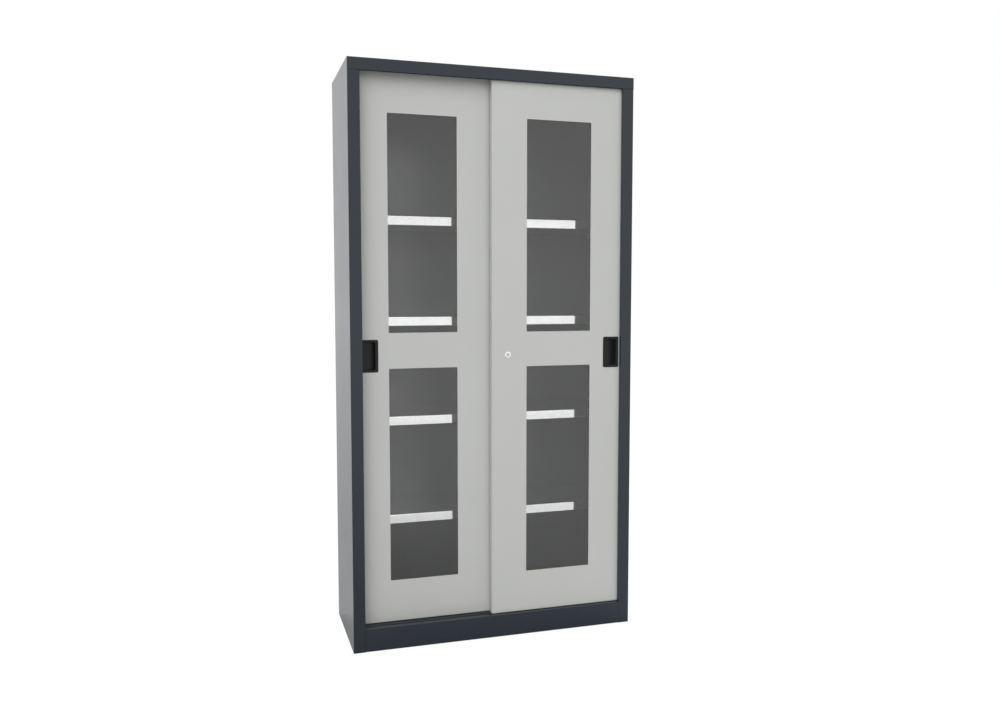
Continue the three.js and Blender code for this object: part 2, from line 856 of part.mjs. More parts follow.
function shelving() {
  const group = new THREE.Group();
  for (let number = 1; number <= shelfCount; number += 1) {
    const top = floorHeight + number * shelfPitch;
    const shelf = piece(`shelf_${number}`, shelfTray(), 'zinc');
    shelf.rotation.x = -Math.PI / 2;
    placed(shelf, -shelfWidth / 2, front + shelfSetback, top);
    group.add(
      shelf,
      ...handedPair(`shelf_${number}_clip_front`, shelfClip(uprightLines.front, top), 'zinc'),
      ...handedPair(`shelf_${number}_clip_rear`, shelfClip(uprightLines.rear, top), 'zinc'),
    );
  }
  return group;
}

// Panel, panes, glazing frames, handle and running gear, from the door's lower left corner
function doorAssembly(name, { handleX, lockHole }) {
  const group = new THREE.Group();
  group.add(
    piece(`${name}_panel`, doorPanel({ handleX, lockHole }), 'doorPaint'),
    placed(piece(`${name}_handle`, recessedHandle(), 'blackPlastic'), handleX, 0, handleZ),
  );
  Object.entries(windowLevels).forEach(([row, level]) => {
    group.add(
      placed(piece(`${name}_glass_${row}`, glassPane(), 'glass'), windowX, 0, level),
      placed(piece(`${name}_glazing_frame_${row}`, glazingFrame(), 'doorPaint'), windowX, 0, level),
    );
  });
  const rollerZ = rollerLevel - doorBottom;
  Object.entries({ left: 0, right: 1 }).forEach(([hand, far]) => {
    const rollerX = far ? doorWidth - rollerInset : rollerInset;
    const guideX = far ? doorWidth - guideInset : guideInset;
    const wheel = piece(`${name}_roller_${hand}`, roller(), 'whitePlastic');
    const bracket = piece(`${name}_roller_bracket_${hand}`, rollerBracket(), 'zinc');
    const guide = piece(`${name}_top_guide_${hand}`, guideBlock(), 'whitePlastic');
    group.add(
      placed(wheel, rollerX, rollerSetback, rollerZ),
      placed(bracket, rollerX, rollerSetback, rollerZ),
      placed(guide, guideX, rollerSetback, doorHeight),
    );
  });
  return group;
}

function frontDoor() {
  const group = doorAssembly('front_door', { handleX: doorWidth - handleInsetFront, lockHole: true });
  group.add(
    placed(piece('lock_housing', lockHousing(), 'nickel'), lockInset, 0, lockZ),
    placed(piece('lock_plug', lockPlug(), 'nickel'), lockInset, 0, lockZ),
    placed(piece('lock_cam', lockCam(), 'zinc'), lockInset, 0, lockZ),
  );
  return placed(group, doorEdge - doorWidth, frontDoorFace, doorBottom);
}

function rearDoor() {
  const group = doorAssembly('rear_door', { handleX: handleInsetRear, lockHole: false });
  const bearing = radians(keeperBearing);
  const keeperX = doorEdge - doorWidth + lockInset + keeperReach * Math.cos(bearing) + doorEdge;
  const keeperZ = lockZ + keeperReach * Math.sin(bearing);
  group.add(placed(piece('lock_keeper', lockKeeper(), 'nickel'), keeperX, 0, keeperZ));
  return placed(group, -doorEdge, rearDoorFace, doorBottom);
}

const cabinet = new THREE.Group();
cabinet.add(carcass(), shelving(), frontDoor(), rearDoor());

export default cabinet;
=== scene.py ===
"""Sliding door cabinet: paint, glass, moulded pulls, plated lock and shelves, set up in a plain studio."""
import json
import math

import bmesh
import bpy
from mathutils import Matrix, Vector


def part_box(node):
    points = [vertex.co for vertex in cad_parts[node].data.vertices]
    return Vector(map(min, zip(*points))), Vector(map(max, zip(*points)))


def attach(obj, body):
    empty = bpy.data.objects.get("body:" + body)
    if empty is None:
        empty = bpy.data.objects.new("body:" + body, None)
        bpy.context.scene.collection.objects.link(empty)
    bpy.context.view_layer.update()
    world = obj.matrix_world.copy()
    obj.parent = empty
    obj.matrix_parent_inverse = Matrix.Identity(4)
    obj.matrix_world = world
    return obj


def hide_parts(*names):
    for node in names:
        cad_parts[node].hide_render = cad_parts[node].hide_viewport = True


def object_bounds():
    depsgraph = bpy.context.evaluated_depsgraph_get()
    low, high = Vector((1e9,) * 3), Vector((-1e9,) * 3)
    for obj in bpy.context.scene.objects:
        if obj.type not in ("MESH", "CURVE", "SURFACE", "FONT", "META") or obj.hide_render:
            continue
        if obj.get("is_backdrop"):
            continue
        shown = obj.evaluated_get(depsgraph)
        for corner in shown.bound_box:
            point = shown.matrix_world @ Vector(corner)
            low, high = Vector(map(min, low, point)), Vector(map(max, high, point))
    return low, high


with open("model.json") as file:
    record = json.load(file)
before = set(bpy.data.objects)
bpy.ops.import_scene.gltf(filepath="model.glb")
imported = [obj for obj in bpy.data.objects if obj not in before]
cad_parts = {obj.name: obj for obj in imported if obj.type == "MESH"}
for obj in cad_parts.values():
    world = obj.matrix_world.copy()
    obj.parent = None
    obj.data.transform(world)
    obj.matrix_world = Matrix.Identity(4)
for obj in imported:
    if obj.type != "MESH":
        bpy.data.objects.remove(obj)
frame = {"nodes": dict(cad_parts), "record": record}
cad_low, cad_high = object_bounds()
nodes = frame["nodes"]
body_of = {name: body for body, members in frame["record"]["behaviour"]["bodies"].items() for name in members}

MM = 0.001
FRONT = Vector((0, -1, 0))
FULL_TURN = 2 * math.pi

# Play between sheets that meet, and the thickness of the doors' sheet
PLAY = 0.3 * MM
SHEET = 1 * MM

# How near two corners of a mesh lie when they are one, in new pieces and in copies of packed sheets
MERGE = 1e-6
SHEET_MERGE = 2e-6

# Angles, in degrees, above which an edge shades sharp
SHEET_SHARP = 35.0
MOULDED_SHARP = 40.0

# Finishes, as linear colours
ANTHRACITE = (0.0090, 0.0145, 0.0225, 1)
INSIDE_GREY = (0.045, 0.0475, 0.050, 1)
LIGHT_GREY = (0.455, 0.462, 0.447, 1)
ZINC = (0.83, 0.83, 0.83, 1)
DULL_ZINC = (0.55, 0.56, 0.57, 1)
# Dark zinc that paints the shade inside the shelves' trays
TRAY_SHADE_ZINC = (0.13, 0.135, 0.14, 1)
NICKEL = (0.90, 0.89, 0.87, 1)
WORN_NICKEL = (0.68, 0.67, 0.65, 1)
# Near-black metal that paints the shade in the key slot
KEYWAY_PAINTED_SHADE = (0.05, 0.045, 0.04, 1)
BLACK_PLASTIC = (0.0070, 0.0071, 0.0071, 1)
NYLON = (0.72, 0.71, 0.67, 1)
PANE = (0.975, 0.98, 0.975, 1)
PANE_PALE = (0.98, 0.985, 0.98, 1)
PANE_SHADE = (0.84, 0.86, 0.85, 1)
DUST = (0.36, 0.34, 0.31, 1)

# Names that repeat
DOORS = ("front_door", "rear_door")
HANDS = ("left", "right")
CORNERS = ("front_right", "front_left", "rear_right", "rear_left")
SHELF_COUNT = 4

# Pulls, from the middle of the rim, x to the right and z up
RIM = Vector((59, 109)) * MM
RIM_CORNER = 5 * MM
RIM_FRONT = -1.7 * MM
RIM_BACK = -PLAY
RIM_ROUNDING = 0.6 * MM
MOUTH = Vector((39, 93)) * MM
MOUTH_CORNER = 3 * MM
MOUTH_END = 0.2 * MM
CUP_DEPTH = 11 * MM
CUP_SHALLOW = 0.6 * MM
CUP_LEFT_INSET = 1 * MM
CUP_RIGHT_INSET = 4 * MM
CUP_END_DRAFT = 5 * MM
CUP_ROUNDING = 1 * MM
CUP_WALL = 2 * MM

# Weld seam, in the middle of the play between the plinth and a stile
BEAD = 0.8 * MM
BEAD_BACK = 0.85 * MM
BEAD_END = 1 * MM
BEAD_ROUNDING = 0.15 * MM
BEAD_SIDES = 16
STILE_GAP = PLAY / 2

# Lock, as radii and places along its axis from the door's face: housing with rosette and nut
LOCK_SIDES = 64
ROSETTE = 11.5 * MM
ROSETTE_FLAT = 8.6 * MM
ROSETTE_SHOULDER = [(9.9 * MM, -3.2 * MM), (10.9 * MM, -2.5 * MM)]
ROSETTE_FRONT = -3.5 * MM
ROSETTE_SIDE = -1.7 * MM
ROSETTE_BACK = -PLAY
ROSETTE_ROUNDING = 0.15 * MM
BARREL = 9 * MM
BARREL_BORE = 6.5 * MM
BARREL_END = 25.7 * MM
NUT = 13 * MM
NUT_FRONT = SHEET + PLAY
NUT_BACK = NUT_FRONT + 4 * MM

# Plug of the lock, with its key slot, with painted shade from just below the face
PLUG = BARREL_BORE - PLAY
PLUG_FRONT = -3.9 * MM
PLUG_REAR = BARREL_END
PLUG_STUB = 4 * MM
PLUG_END = 29.9 * MM
PLUG_ROUNDING = 0.25 * MM
KEY_SLOT = Vector((1.8, 7.5)) * MM
KEY_SLOT_DEPTH = 6 * MM
KEY_SLOT_SIDES = 24
KEYWAY_START = 0.3 * MM
KEYWAY_MARGIN = 0.1 * MM

# Keeper stud, from the rear door's face
STUD = 4 * MM
STUD_FLANGE = 5.8 * MM
STUD_FLANGE_FRONT = -1.4 * MM
STUD_SIDES = 40
STUD_ROUNDING = 0.3 * MM

# Rollers, from their middle plane: hub, thinner web, rim and tread
WHEEL_BORE = 2.8 * MM
WHEEL_HUB = 6 * MM
WHEEL_HUB_HALF = 3 * MM
WHEEL_FACE_HALF = 2.5 * MM
WHEEL_WEB = (7.4 * MM, 11 * MM)
WHEEL_WEB_HALF = 1.7 * MM
WHEEL_RIM = (12.2 * MM, 14.2 * MM)
WHEEL_TREAD = 15 * MM
WHEEL_TREAD_HALF = 1.7 * MM
WHEEL_SIDES = 48
WHEEL_ROUNDING = 0.2 * MM

# Studio floor
FLOOR_SIZE = 120.0
FLOOR_DROP = 0.2 * MM
FLOOR_GREY = (0.6, 0.6, 0.6, 1)
WHITE = (1, 1, 1, 1)

# Camera: sensor and lens in millimetres, place in metres, dip and turn in degrees
SENSOR = 36
LENS = 32.36
CAMERA_PLACE = (-0.89965, -3.12730, 1.20271)
CAMERA_DIP = 4.146
CAMERA_TURN = 17.251


# Shading

def add(tree, kind, inputs=None, **settings):
    """One shading node, with its settings and the plain or linked values of its inputs."""
    made = tree.nodes.new("ShaderNode" + kind)
    for name, value in settings.items():
        setattr(made, name, value)
    for name, value in (inputs or {}).items():
        if isinstance(value, bpy.types.NodeSocket):
            tree.links.new(value, made.inputs[name])
        else:
            made.inputs[name].default_value = value
    return made


def math_node(tree, operation, a, b=0.0, c=0.0):
    return add(tree, "Math", {0: a, 1: b, 2: c}, operation=operation).outputs[0]


def spread(tree, value, low, high, new_low=0.0, new_high=1.0):
    """A value stretched from one range to another and held inside it."""
    inputs = {"Value": value, "From Min": low, "From Max": high, "To Min": new_low, "To Max": new_high}
    return add(tree, "MapRange", inputs).outputs["Result"]


def noise(tree, where, scale, detail=2.0, roughness=0.5):
    inputs = {"Vector": where, "Scale": scale, "Detail": detail, "Roughness": roughness}
    return add(tree, "TexNoise", inputs).outputs["Fac"]


def swing(tree, where, scale, detail, roughness=0.5):
    """Soft clouds about zero, from -1 to 1."""
    clouds = noise(tree, where, scale, detail, roughness)
    return spread(tree, clouds, low=0.3, high=0.7, new_low=-1.0, new_high=1.0)


def scaled(tree, vector, factor):
    return add(tree, "VectorMath", {0: vector, "Scale": factor}, operation="SCALE").outputs[0]


def blend_colour(tree, share, first, second):
    inputs = {0: share, 6: first, 7: second}
    return add(tree, "Mix", inputs, data_type="RGBA", blend_type="MIX").outputs[2]


def raised(tree, height):
    """The normal of a surface that a height in metres raises."""
    return add(tree, "Bump", {"Strength": 1.0, "Distance": 1.0, "Height": height}).outputs["Normal"]


def object_place(tree):
    return add(tree, "TexCoord").outputs["Object"]


def shading_group(name, inputs, outputs):
    """An empty shading group with its named sockets, and the sockets of its two ends."""
    group = bpy.data.node_groups.new(name, "ShaderNodeTree")
    for title, kind, value in inputs:
        made = group.interface.new_socket(title, in_out="INPUT", socket_type="NodeSocket" + kind)
        made.default_value = value
    for title, kind in outputs:
        group.interface.new_socket(title, in_out="OUTPUT", socket_type="NodeSocket" + kind)
    entry = group.nodes.new("NodeGroupInput").outputs
    leave = group.nodes.new("NodeGroupOutput").inputs
    return group, entry, leave


def put_out(group, leave, results):
    """Links what a group has worked out to its outputs."""
    for title, result in results.items():
        group.links.new(result, leave[title])


def settled_dust():
    """Dust that lies on upward faces, in patches."""
    group, entry, leave = shading_group(
        "settled_dust",
        [("Amount", "Float", 0.2), ("Patch Scale", "Float", 18.0)],
        [("Mask", "Float")],
    )
    where = object_place(group)
    upward = add(group, "SeparateXYZ", {0: add(group, "NewGeometry").outputs["Normal"]}).outputs["Z"]
    flat = spread(group, upward, low=0.7, high=0.98)
    cover = noise(group, where, entry["Patch Scale"], detail=5.0, roughness=0.6)
    patches = spread(group, cover, low=0.35, high=0.7, new_low=0.35)
    grit = noise(group, where, scale=900.0, detail=1.0)
    specks = spread(group, grit, low=0.45, high=0.75, new_low=0.5)
    layer = math_node(group, "MULTIPLY", flat, math_node(group, "MULTIPLY", patches, specks))
    put_out(group, leave, {"Mask": math_node(group, "MULTIPLY", layer, entry["Amount"])})
    return group


def powder_coat(dust):
    """Baked powder paint: fine orange peel, faint clouds in tone and gloss, a little dust on top faces."""
    group, entry, leave = shading_group(
        "powder_coat",
        [
            ("Paint", "Color", (0.5, 0.5, 0.5, 1)),
            ("Tone Shift", "Float", 0.04),
            ("Gloss", "Float", 0.3),
            ("Gloss Shift", "Float", 0.05),
            ("Peel Scale", "Float", 520.0),
            ("Peel Height", "Float", 0.00001),
            ("Dust", "Float", 0.15),
        ],
        [("Color", "Color"), ("Roughness", "Float"), ("Normal", "Vector")],
    )
    dust_dulling = 0.5
    where = object_place(group)
    cloud = swing(group, where, scale=2.6, detail=3.0)
    tone = math_node(group, "MULTIPLY_ADD", cloud, entry["Tone Shift"], 1.0)
    tinted = scaled(group, entry["Paint"], tone)
    mask = add(group, "Group", {"Amount": entry["Dust"]}, node_tree=dust).outputs["Mask"]
    wiped = swing(group, where, scale=7.0, detail=4.0, roughness=0.6)
    gloss = math_node(group, "MULTIPLY_ADD", wiped, entry["Gloss Shift"], entry["Gloss"])
    peel = noise(group, where, entry["Peel Scale"], detail=2.0, roughness=0.55)
    put_out(group, leave, {
        "Color": blend_colour(group, mask, tinted, DUST),
        "Roughness": math_node(group, "MULTIPLY_ADD", mask, dust_dulling, gloss),
        "Normal": raised(group, math_node(group, "MULTIPLY", peel, entry["Peel Height"])),
    })
    return group


def zinc_spangle(dust):
    """The crystal pattern of zinc on sheet, with rolling lines, and a dull film on upward faces."""
    group, entry, leave = shading_group(
        "zinc_spangle",
        [
            ("Metal", "Color", (0.8, 0.8, 0.8, 1)),
            ("Spangle Scale", "Float", 90.0),
            ("Contrast", "Float", 0.06),
            ("Gloss", "Float", 0.08),
            ("Gloss Shift", "Float", 0.05),
            ("Film", "Float", 0.2),
        ],
        [("Color", "Color"), ("Roughness", "Float"), ("Metallic", "Float"), ("Normal", "Vector")],
    )
    film_dulling = 0.7
    warp_reach = 4 * MM
    rolling_stretch = (4.0, 700.0, 700.0)
    rolling_height = 0.0000012
    where = object_place(group)
    warp = add(group, "TexNoise", {"Vector": where, "Scale": 60.0, "Detail": 2.0}).outputs["Color"]
    pushed = scaled(group, warp, warp_reach)
    crystal_place = add(group, "VectorMath", {0: where, 1: pushed}, operation="ADD").outputs[0]
    cells = add(group, "TexVoronoi", {"Vector": crystal_place, "Scale": entry["Spangle Scale"]})
    facet = add(group, "SeparateXYZ", {0: cells.outputs["Color"]}).outputs["X"]
    centred = math_node(group, "SUBTRACT", facet, 0.5)
    tone = math_node(group, "MULTIPLY_ADD", centred, entry["Contrast"], 1.0)
    tinted = scaled(group, entry["Metal"], tone)
    mask = add(group, "Group", {"Amount": entry["Film"]}, node_tree=dust).outputs["Mask"]
    gloss = math_node(group, "MULTIPLY_ADD", facet, entry["Gloss Shift"], entry["Gloss"])
    along = add(group, "Mapping", {"Vector": where, "Scale": rolling_stretch}).outputs["Vector"]
    lines = noise(group, along, scale=1.0, detail=2.0)
    put_out(group, leave, {
        "Color": blend_colour(group, mask, tinted, DUST),
        "Roughness": math_node(group, "MULTIPLY_ADD", mask, film_dulling, gloss),
        "Metallic": math_node(group, "SUBTRACT", 1.0, mask),
        "Normal": raised(group, math_node(group, "MULTIPLY", lines, rolling_height)),
    })
    return group


def moulded_grain():
    """Eroded mould grain on plastic, with rubbed patches that shine a little more."""
    group, entry, leave = shading_group(
        "moulded_grain",
        [
            ("Plastic", "Color", (0.02, 0.02, 0.02, 1)),
            ("Tone Shift", "Float", 0.1),
            ("Gloss", "Float", 0.45),
            ("Rub", "Float", 0.1),
            ("Grain Scale", "Float", 1600.0),
            ("Grain Height", "Float", 0.00002),
        ],
        [("Color", "Color"), ("Roughness", "Float"), ("Normal", "Vector")],
    )
    where = object_place(group)
    cells = add(group, "TexVoronoi", {"Vector": where, "Scale": entry["Grain Scale"]}).outputs["Distance"]
    soft = noise(group, where, scale=2400.0, detail=3.0)
    grain = math_node(group, "ADD", cells, soft)
    cloud = swing(group, where, scale=45.0, detail=3.0)
    tone = math_node(group, "MULTIPLY_ADD", cloud, entry["Tone Shift"], 1.0)
    rubbed = spread(group, noise(group, where, scale=28.0, detail=4.0, roughness=0.6), low=0.4, high=0.7)
    drop = math_node(group, "MULTIPLY", rubbed, entry["Rub"])
    put_out(group, leave, {
        "Color": scaled(group, entry["Plastic"], tone),
        "Roughness": math_node(group, "SUBTRACT", entry["Gloss"], drop),
        "Normal": raised(group, math_node(group, "MULTIPLY", grain, entry["Grain Height"])),
    })
    return group


def turned_plating():
    """Plated turned metal: fine tool rings about an axis along y, and faint stains."""
    group, entry, leave = shading_group(
        "turned_plating",
        [
            ("Metal", "Color", (0.8, 0.8, 0.8, 1)),
            ("Centre", "Vector", (0, 0, 0)),
            ("Gloss", "Float", 0.2),
            ("Stain", "Float", 0.08),
        ],
        [("Color", "Color"), ("Roughness", "Float"), ("Normal", "Vector")],
    )
    ring_height = 0.000002
    where = object_place(group)
    about = add(group, "VectorMath", {0: where, 1: entry["Centre"]}, operation="SUBTRACT").outputs[0]
    ring_inputs = {"Vector": about, "Scale": 900.0, "Distortion": 0.4, "Detail": 2.0}
    rings = add(group, "TexWave", ring_inputs, wave_type="RINGS", rings_direction="Y").outputs["Fac"]
    stain = spread(group, noise(group, where, scale=160.0, detail=4.0, roughness=0.6), low=0.45, high=0.75)
    darker = math_node(group, "MULTIPLY", stain, entry["Stain"])
    keep = math_node(group, "SUBTRACT", 1.0, darker)
    put_out(group, leave, {
        "Color": scaled(group, entry["Metal"], keep),
        "Roughness": math_node(group, "ADD", entry["Gloss"], darker),
        "Normal": raised(group, math_node(group, "MULTIPLY", rings, ring_height)),
    })
    return group


def blank_material(name):
    """A material without nodes, and its node tree."""
    made = bpy.data.materials.new(name)
    made.use_nodes = True
    made.node_tree.nodes.clear()
    return made, made.node_tree


def finish(name, group, values, **plain):
    """A material: one shading group with this finish's own values, and a Principled shader."""
    made, tree = blank_material(name)
    surface = add(tree, "BsdfPrincipled", {title.replace("_", " "): value for title, value in plain.items()})
    effect = add(tree, "Group", values, node_tree=group)
    tree.links.new(effect.outputs["Color"], surface.inputs["Base Color"])
    tree.links.new(effect.outputs["Roughness"], surface.inputs["Roughness"])
    tree.links.new(effect.outputs["Normal"], surface.inputs["Normal"])
    if "Metallic" in effect.outputs:
        tree.links.new(effect.outputs["Metallic"], surface.inputs["Metallic"])
    add(tree, "OutputMaterial", {"Surface": surface.outputs["BSDF"]})
    return made


def pane_glass(name):
    """Clear float glass with the faint green of its iron and a trace of smears."""
    made, tree = blank_material(name)
    where = object_place(tree)
    wiped = noise(tree, where, scale=9.0, detail=5.0, roughness=0.65)
    smears = spread(tree, wiped, low=0.5, high=0.8, new_high=0.012)
    cloud = spread(tree, noise(tree, where, scale=2.0), low=0.3, high=0.7)
    surface = add(tree, "BsdfPrincipled", {
        "Base Color": blend_colour(tree, cloud, PANE, PANE_PALE),
        "Roughness": smears,
        "IOR": 1.54,
        "Transmission Weight": 1.0,
    })
    lamp_ray = add(tree, "LightPath").outputs["Is Shadow Ray"]
    clear = add(tree, "BsdfTransparent", {"Color": PANE_SHADE})
    both = add(tree, "MixShader", {0: lamp_ray, 1: surface.outputs[0], 2: clear.outputs[0]})
    add(tree, "OutputMaterial", {"Surface": both.outputs[0]})
    return made


dust_group = settled_dust()
coat_group = powder_coat(dust_group)
zinc_group = zinc_spangle(dust_group)
grain_group = moulded_grain()
plating_group = turned_plating()

body_paint = finish("anthracite_powder_coat", coat_group, {
    "Paint": ANTHRACITE, "Tone Shift": 0.05, "Gloss": 0.24, "Gloss Shift": 0.01,
    "Peel Scale": 520.0, "Peel Height": 0.000004, "Dust": 0.02,
}, IOR=1.5)
track_paint = finish("track_powder_coat", coat_group, {
    "Paint": ANTHRACITE, "Tone Shift": 0.08, "Gloss": 0.48, "Gloss Shift": 0.05,
    "Peel Scale": 520.0, "Peel Height": 0.000004, "Dust": 0.01,
}, IOR=1.5)
# Painted shade under the top rail: the body paint with its reflection turned down
underside_shade_paint = finish("underside_painted_shade_coat", coat_group, {
    "Paint": ANTHRACITE, "Tone Shift": 0.05, "Gloss": 0.55, "Gloss Shift": 0.05,
    "Peel Scale": 520.0, "Peel Height": 0.000004, "Dust": 0.0,
}, IOR=1.5, Specular_IOR_Level=0.2)
inside_paint = finish("inside_powder_coat", coat_group, {
    "Paint": INSIDE_GREY, "Tone Shift": 0.04, "Gloss": 0.32, "Gloss Shift": 0.02,
    "Peel Scale": 420.0, "Peel Height": 0.0000015, "Dust": 0.05,
}, IOR=1.5)
door_paint = finish("light_grey_powder_coat", coat_group, {
    "Paint": LIGHT_GREY, "Tone Shift": 0.012, "Gloss": 0.36, "Gloss Shift": 0.02,
    "Peel Scale": 480.0, "Peel Height": 0.000005, "Dust": 0.05,
}, IOR=1.5)
shelf_zinc = finish("galvanised_sheet", zinc_group, {
    "Metal": ZINC, "Spangle Scale": 110.0, "Contrast": 0.05, "Gloss": 0.05, "Gloss Shift": 0.03,
    "Film": 0.05,
})
# Painted shade: the faces inside each shelf's tray take this dark zinc
tray_painted_shade = finish("zinc_tray_painted_shade", zinc_group, {
    "Metal": TRAY_SHADE_ZINC, "Spangle Scale": 140.0, "Contrast": 0.12, "Gloss": 0.35, "Gloss Shift": 0.1,
    "Film": 0.0,
})
gear_zinc = finish("zinc_plated_steel", zinc_group, {
    "Metal": DULL_ZINC, "Spangle Scale": 400.0, "Contrast": 0.1, "Gloss": 0.28, "Gloss Shift": 0.12,
    "Film": 0.15,
})
black_plastic = finish("black_moulded_plastic", grain_group, {
    "Plastic": BLACK_PLASTIC, "Tone Shift": 0.12, "Gloss": 0.4, "Rub": 0.1,
    "Grain Scale": 1500.0, "Grain Height": 0.000012,
}, Specular_IOR_Level=0.24)
nylon = finish("white_nylon", grain_group, {
    "Plastic": NYLON, "Tone Shift": 0.03, "Gloss": 0.42, "Rub": 0.1,
    "Grain Scale": 2600.0, "Grain Height": 0.000006,
}, Subsurface_Weight=0.1, Subsurface_Radius=(0.003, 0.003, 0.003), Subsurface_Scale=1.0)
glass = pane_glass("window_glass")


# Shaping

def settle(bm, name, material, body, sharp=SHEET_SHARP):
    """The finished piece: doubles merged, faces turned out, shading smooth across gentle angles."""
    bmesh.ops.remove_doubles(bm, verts=bm.verts, dist=MERGE)
    bmesh.ops.recalc_face_normals(bm, faces=bm.faces)
    limit = math.radians(sharp)
    for face in bm.faces:
        face.smooth = True
    for edge in bm.edges:
        edge.smooth = edge.calc_face_angle(math.pi) < limit
    mesh = bpy.data.meshes.new(name)
    bm.to_mesh(mesh)
    bm.free()
    mesh.materials.append(material)
    made = bpy.data.objects.new(name, mesh)
    bpy.context.scene.collection.objects.link(made)
    even = made.modifiers.new("even_shading", "WEIGHTED_NORMAL")
    even.weight = 100
    even.keep_sharp = True
    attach(made, body)
    return made


def round_over(bm, edges, width, segments):
    """Rounds edges over, and less where they would run into each other."""
    bmesh.ops.bevel(
        bm, geom=edges, offset=width, offset_type="OFFSET", segments=segments, profile=0.5,
        affect="EDGES", material=-1, clamp_overlap=True,
    )


def sharp_edges(bm, degrees):
    """The edges at which two faces turn by more than an angle."""
    limit = math.radians(degrees)
    return [e for e in bm.edges if e.is_manifold and e.calc_face_angle(0) > limit]


def pressed_sheet(node, material):
    """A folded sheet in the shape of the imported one, with its bends shaded smooth."""
    bm = bmesh.new()
    bm.from_mesh(nodes[node].data)
    bmesh.ops.remove_doubles(bm, verts=bm.verts, dist=SHEET_MERGE)
    bmesh.ops.dissolve_degenerate(bm, edges=bm.edges, dist=MERGE)
    made = settle(bm, node + "_sheet", material, body_of[node])
    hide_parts(node)
    return made


def finish_inside(sheet, material, middle, behind=-math.inf):
    """Gives a second finish to the faces that look towards the middle of a hollow, behind a place along y."""
    sheet.data.materials.append(material)
    for face in sheet.data.polygons:
        if face.center.y > behind and face.normal.dot(face.center - middle) < 0:
            face.material_index = 1


def finish_underside(sheet, material, before):
    """Gives one more finish to the faces that look down, in front of a place along y."""
    sheet.data.materials.append(material)
    for face in sheet.data.polygons:
        if face.center.y < before and face.normal.z < -0.5:
            face.material_index = len(sheet.data.materials) - 1


def paint_node(node, material):
    """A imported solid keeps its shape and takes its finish."""
    node_mesh = nodes[node].data
    node_mesh.materials.clear()
    node_mesh.materials.append(material)


def nested(vertices, outer, outer_corner, inner, inner_corner, y):
    """Moves a ring of a rounded rectangle onto another one that shares its middle."""
    outer_reach = outer / 2 - Vector((outer_corner, outer_corner))
    inner_reach = inner / 2 - Vector((inner_corner, inner_corner))
    for vertex in vertices:
        side_x = math.copysign(1, vertex.co.x)
        side_z = math.copysign(1, vertex.co.z)
        spoke_x = (vertex.co.x - side_x * outer_reach.x) / outer_corner
        spoke_z = (vertex.co.z - side_z * outer_reach.y) / outer_corner
        vertex.co.x = side_x * inner_reach.x + spoke_x * inner_corner
        vertex.co.z = side_z * inner_reach.y + spoke_z * inner_corner
        vertex.co.y = y


def facing(bm, direction):
    """The face that looks along a direction and lies furthest that way."""
    looking = [f for f in bm.faces if f.normal.dot(direction) > 0.99]
    return max(looking, key=lambda f: f.calc_center_median().dot(direction))


def drawn_in(bm, face):
    """Extrudes a face in place, removes the old one and returns the new one."""
    grown = bmesh.ops.extrude_face_region(bm, geom=[face])["geom"]
    bmesh.ops.delete(bm, geom=[face], context="FACES_ONLY")
    return next(g for g in grown if isinstance(g, bmesh.types.BMFace))


def set_depth(vertices, y):
    for vertex in vertices:
        vertex.co.y = y


def slope_cup(vertices, reach, shallow, deep):
    """Moves a ring onto the sloping floor, deep on the right, with its ends drawn in as it gets deeper."""
    left = -reach + CUP_LEFT_INSET
    right = reach - CUP_RIGHT_INSET
    for vertex in vertices:
        share = (vertex.co.x + reach) / (2 * reach)
        vertex.co.x = left + (right - left) * share
        vertex.co.y = shallow + (deep - shallow) * share
        vertex.co.z -= math.copysign(CUP_END_DRAFT * vertex.co.y / CUP_DEPTH, vertex.co.z)


def moulded_pull(name, node, body, middle):
    """Recessed pull: a rim on the door's skin round a cup whose floor slopes down to the right."""
    bm = bmesh.new()
    bmesh.ops.create_cube(bm, size=1.0)
    bmesh.ops.scale(bm, vec=(RIM.x, RIM_BACK - RIM_FRONT, RIM.y), verts=bm.verts)
    bmesh.ops.translate(bm, vec=(0, (RIM_BACK + RIM_FRONT) / 2, 0), verts=bm.verts)
    corners = [e for e in bm.edges if abs((e.verts[0].co - e.verts[1].co).normalized().y) > 0.9]
    round_over(bm, corners, RIM_CORNER, segments=8)
    bm.normal_update()

    # Cup, from the front: a short straight mouth, then the sloping floor with drafted ends
    front = drawn_in(bm, facing(bm, FRONT))
    nested(front.verts, RIM, RIM_CORNER, MOUTH, MOUTH_CORNER, RIM_FRONT)
    front = drawn_in(bm, front)
    set_depth(front.verts, MOUTH_END)
    front = drawn_in(bm, front)
    slope_cup(front.verts, MOUTH.x / 2, CUP_SHALLOW, CUP_DEPTH)
    floor_edges = list(front.edges)

    # Shell of the cup, from the back of the rim
    shell = MOUTH + 2 * Vector((CUP_WALL, CUP_WALL))
    back = drawn_in(bm, facing(bm, -FRONT))
    nested(back.verts, RIM, RIM_CORNER, shell, RIM_CORNER, RIM_BACK)
    back = drawn_in(bm, back)
    set_depth(back.verts, CUP_WALL)
    back = drawn_in(bm, back)
    slope_cup(back.verts, shell.x / 2, CUP_SHALLOW + CUP_WALL, CUP_DEPTH + CUP_WALL)

    # Roundings: outside and mouth of the rim, then the floor
    bm.normal_update()
    steep_edges = sharp_edges(bm, 60.0)
    rim_edges = [e for e in steep_edges if all(abs(v.co.y - RIM_FRONT) < MERGE for v in e.verts)]
    round_over(bm, rim_edges, RIM_ROUNDING, segments=3)
    round_over(bm, floor_edges, CUP_ROUNDING, segments=3)
    bmesh.ops.translate(bm, vec=middle, verts=bm.verts)
    made = settle(bm, name, black_plastic, body, MOULDED_SHARP)
    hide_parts(node)


